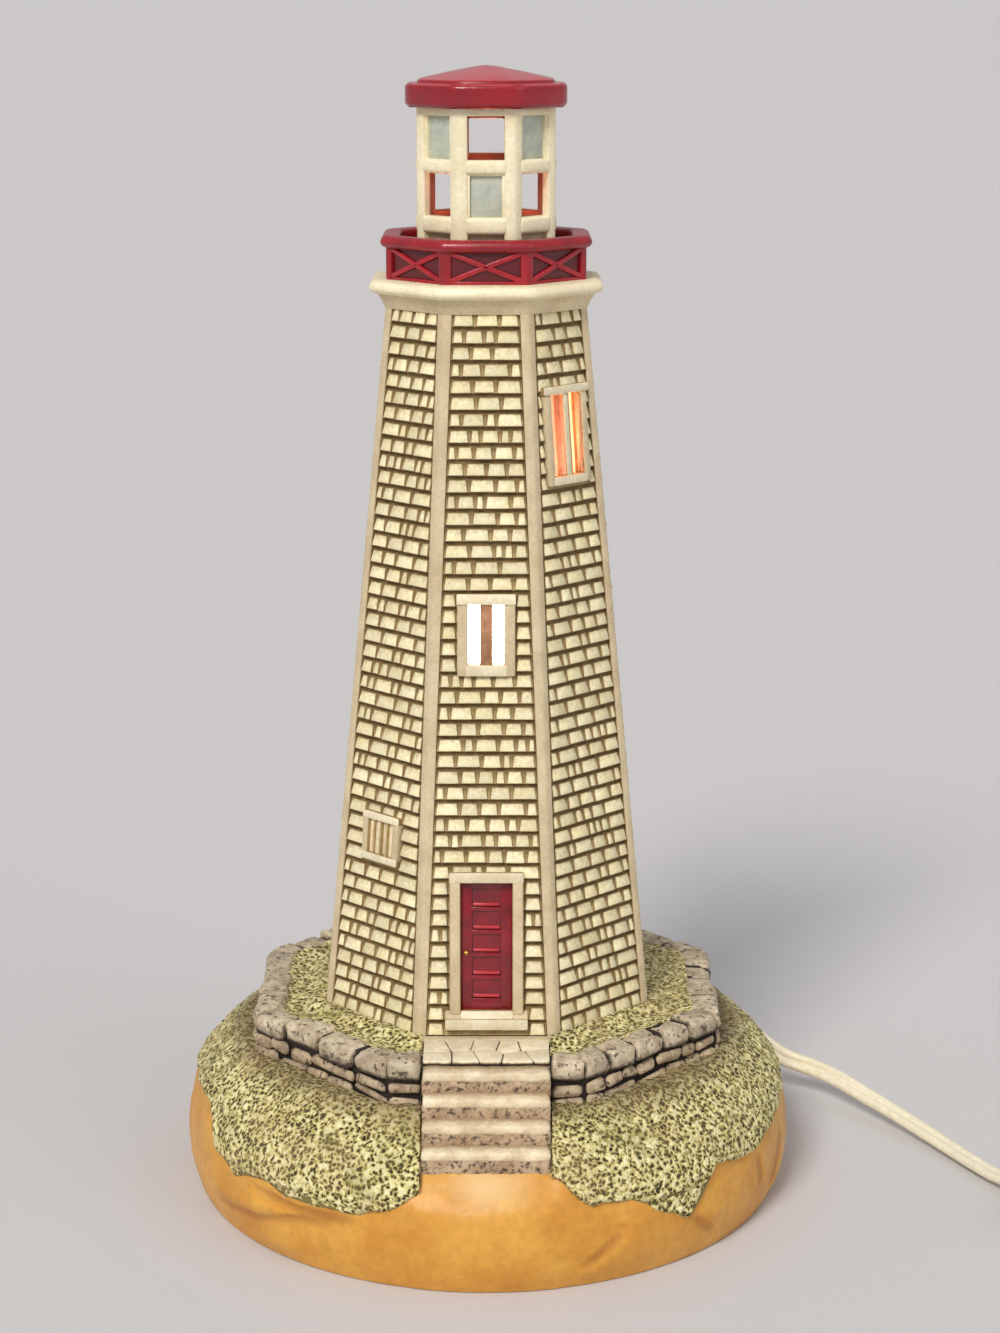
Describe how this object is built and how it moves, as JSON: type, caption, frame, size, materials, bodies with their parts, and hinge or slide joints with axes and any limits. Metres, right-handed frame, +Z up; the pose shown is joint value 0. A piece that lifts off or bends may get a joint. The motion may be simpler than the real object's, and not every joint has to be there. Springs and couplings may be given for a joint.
{
  "type": "lighthouse figurine",
  "caption": "Lit ceramic lighthouse: an eight-sided brick tower with a red gallery and lantern on a grassy stone base, with a bulb inside and a corded switch and plug.",
  "frame": {"origin": "on the floor, under the tower's axis", "axes": "+Z up along the tower, -Y towards the front with the door and the steps, +X to the right"},
  "size_m": [0.3581, 0.2053, 0.305],
  "materials": {
    "sand_grass_ceramic": "satin, hand-painted",
    "brick_ceramic": "satin, hand-painted",
    "red_glaze": "gloss",
    "cream_ceramic": "satin, hand-painted",
    "brass": "satin",
    "zinc_steel": "satin",
    "socket_aluminium": "satin",
    "fibre_board": "matte",
    "phenolic": "satin",
    "black_glass": "gloss",
    "bulb_glass": "frosted",
    "clear_glass": "clear",
    "tungsten": "matte",
    "cord_vinyl": "satin",
    "fitting_plastic": "gloss",
    "tie_plastic": "matte"
  },
  "bodies": {
    "base": {"base_casting": "sand_grass_ceramic", "threaded_nipple": "brass", "nipple_washers": "zinc_steel", "nipple_locknuts": "brass", "socket_cap": "socket_aluminium", "socket_shell": "socket_aluminium", "socket_liner": "fibre_board", "socket_body": "phenolic", "socket_screw_shell": "brass", "socket_centre_contact": "brass", "cord_grommet": "fitting_plastic", "inner_lead": "cord_vinyl", "cord_free_stretch": "cord_vinyl", "switch_lower_housing": "fitting_plastic", "switch_upper_housing": "fitting_plastic", "switch_contacts": "brass", "switch_screw": "zinc_steel", "cord_coil": "cord_vinyl", "cord_switch_link": "cord_vinyl", "coil_tie": "tie_plastic", "cord_plug_tail": "cord_vinyl", "plug_body": "fitting_plastic", "plug_blades": "brass"},
    "tower": {"tower_casting": "brick_ceramic", "gallery_railing": "red_glaze", "lantern_room": "cream_ceramic", "roof_cap": "red_glaze"},
    "bulb_foot": {"bulb_tip_contact": "zinc_steel", "bulb_cap_insulator": "black_glass"},
    "bulb": {"bulb_screw_cap": "socket_aluminium", "bulb_glass": "bulb_glass", "bulb_stem": "clear_glass", "bulb_filament": "tungsten"},
    "thumbwheel": {"switch_thumbwheel": "fitting_plastic"}
  },
  "joints": [
    {"name": "tower_lift", "type": "slide", "parent": "base", "child": "tower", "axis": [0, 0, 1], "range_m": [0, 0.13]},
    {"name": "bulb_rise", "type": "slide", "parent": "base", "child": "bulb_foot", "axis": [0, 0, 1], "range_m": [0, 0.02]},
    {"name": "bulb_turn", "type": "hinge", "parent": "bulb_foot", "child": "bulb", "pos_m": [0, 0, 0.1], "axis": [0, 0, 1], "range_deg": [0, 1980]},
    {"name": "switch_thumbwheel", "type": "hinge", "parent": "base", "child": "thumbwheel", "pos_m": [0.17404, -0.06771, 0.0065], "axis": [0, 0, 1], "continuous": true}
  ],
  "couplings": [
    {"joint": "bulb_rise", "follows": "bulb_turn", "m_per_rad": 0.00057775}
  ]
}
